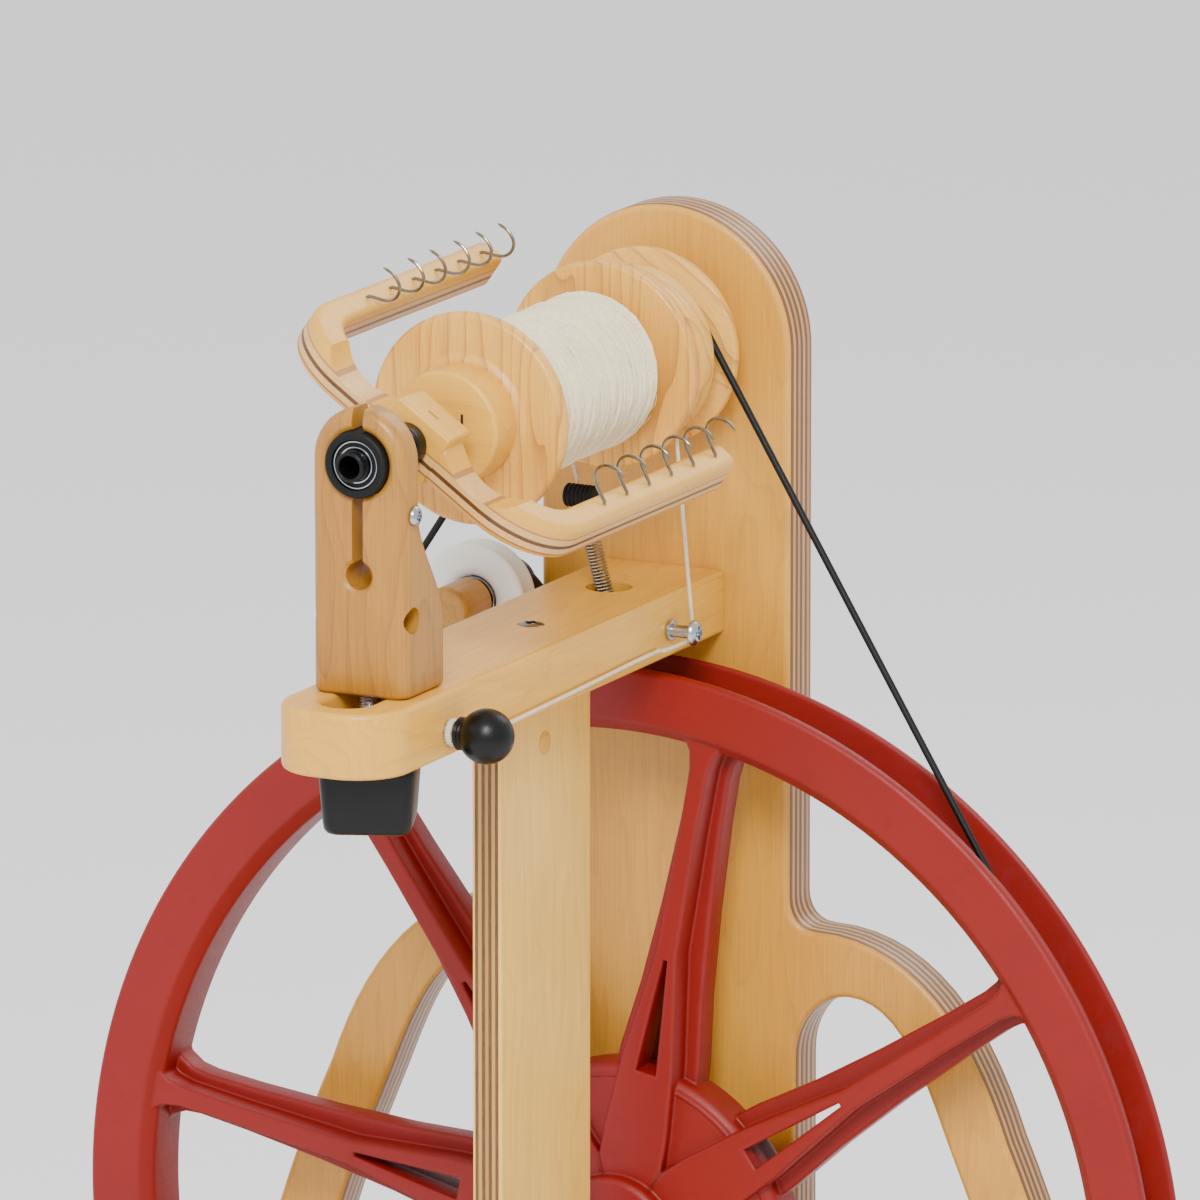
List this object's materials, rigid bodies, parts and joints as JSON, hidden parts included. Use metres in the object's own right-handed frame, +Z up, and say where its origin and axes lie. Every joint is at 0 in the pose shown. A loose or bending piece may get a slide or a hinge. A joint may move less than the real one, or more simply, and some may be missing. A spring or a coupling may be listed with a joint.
{
  "type": "spinning wheel",
  "caption": "Upright spinning wheel: spoked drive wheel on a tall backboard, with a U-shaped flyer, bobbin, brake cord, front maiden, drive band and double treadles on a slim base.",
  "frame": {"origin": "centre of the footprint box, on the floor", "axes": "+X to the spinner's right, +Y from the spinner to the backboard, +Z up"},
  "size_m": [0.4064, 0.356, 0.6602],
  "materials": {
    "maple": "satin",
    "plywood": "satin",
    "cherry": "satin",
    "red": "moulded",
    "black": "moulded",
    "rubber": "matte",
    "steel": "plated",
    "white": "moulded",
    "yarn": "spun wool",
    "cord": "braided cotton"
  },
  "bodies": {
    "frame": {"backboard": "plywood", "axle_bearing_front": "steel", "axle_bearing_rear": "steel", "rear_flyer_bearing": "black", "stretcher": "maple", "front_foot": "maple", "foot_pad_front_left": "rubber", "foot_pad_front_right": "rubber", "foot_pad_rear_left": "rubber", "foot_pad_rear_right": "rubber", "rod_bracket_left": "maple", "rod_bracket_right": "maple", "treadle_rod": "steel", "front_post": "plywood", "flyer_bar": "maple", "brake_guide_screw": "steel", "brake_cord": "cord", "brake_spring": "steel", "spring_cap": "black", "idler_arm": "black", "idler_dowel": "cherry", "drive_band": "black"},
    "maiden": {"front_maiden": "cherry", "bearing_sleeve": "rubber", "front_bearing": "steel", "maiden_pinch_screw": "steel", "clamp_bolt": "steel"},
    "clamp_knob": {"clamp_knob": "black"},
    "tension": {"tension_shaft": "steel", "tension_knob": "black"},
    "flyer": {"flyer_arms": "maple", "orifice_tube": "black", "flyer_shaft": "steel", "whorl": "maple", "hook_left_1": "steel", "hook_left_2": "steel", "hook_left_3": "steel", "hook_left_4": "steel", "hook_left_5": "steel", "hook_left_6": "steel", "hook_right_1": "steel", "hook_right_2": "steel", "hook_right_3": "steel", "hook_right_4": "steel", "hook_right_5": "steel", "hook_right_6": "steel"},
    "bobbin": {"bobbin_front_flange": "maple", "bobbin_core": "maple", "bobbin_rear_flange": "maple", "yarn_package": "yarn"},
    "wheel": {"drive_wheel": "red", "wheel_axle": "steel", "hub_cap": "black", "crank": "steel"},
    "footman_right": {"footman_right": "maple"},
    "footman_left": {"footman_left": "maple"},
    "treadle_right": {"treadle_right": "plywood"},
    "treadle_left": {"treadle_left": "plywood"},
    "idler": {"idler_bearing": "steel", "idler_pulley": "white"}
  },
  "joints": [
    {"name": "maiden_slide", "type": "slide", "parent": "frame", "child": "maiden", "axis": [0, -1, 0], "range_m": [0, 0.019]},
    {"name": "clamp_knob_turn", "type": "hinge", "parent": "maiden", "child": "clamp_knob", "pos_m": [0, -0.096, 0.499], "axis": [0, 0, 1], "continuous": true},
    {"name": "tension_turn", "type": "hinge", "parent": "frame", "child": "tension", "pos_m": [0.03, -0.083, 0.5193], "axis": [1, 0, 0], "continuous": true},
    {"name": "wheel_spin", "type": "hinge", "parent": "frame", "child": "wheel", "pos_m": [0, 0.095, 0.302], "axis": [0, 1, 0], "continuous": true},
    {"name": "flyer_spin", "type": "hinge", "parent": "frame", "child": "flyer", "pos_m": [0, 0.012, 0.6115], "axis": [0, 1, 0], "continuous": true},
    {"name": "bobbin_spin", "type": "hinge", "parent": "flyer", "child": "bobbin", "pos_m": [0, 0.022, 0.6115], "axis": [0, 1, 0], "continuous": true},
    {"name": "footman_right_hang", "type": "hinge", "parent": "wheel", "child": "footman_right", "pos_m": [0.026, 0.155, 0.302], "axis": [0, 1, 0], "continuous": true},
    {"name": "footman_left_hang", "type": "hinge", "parent": "wheel", "child": "footman_left", "pos_m": [-0.026, 0.1725, 0.302], "axis": [0, 1, 0], "continuous": true},
    {"name": "treadle_right_rock", "type": "hinge", "parent": "frame", "child": "treadle_right", "pos_m": [0.064, -0.103, 0.048], "axis": [1, 0, 0], "range_deg": [-5.8, 5.8]},
    {"name": "treadle_left_rock", "type": "hinge", "parent": "frame", "child": "treadle_left", "pos_m": [-0.064, -0.103, 0.048], "axis": [1, 0, 0], "range_deg": [-5.8, 5.8]},
    {"name": "idler_spin", "type": "hinge", "parent": "frame", "child": "idler", "pos_m": [-0.056, 0.092, 0.5215], "axis": [0, 1, 0], "continuous": true}
  ],
  "couplings": [
    {"joint": "flyer_spin", "follows": "wheel_spin", "ratio": 7.4038},
    {"joint": "footman_right_hang", "follows": "wheel_spin", "ratio": -1},
    {"joint": "footman_left_hang", "follows": "wheel_spin", "ratio": -1},
    {"joint": "treadle_left_rock", "follows": "treadle_right_rock", "ratio": -1}
  ]
}
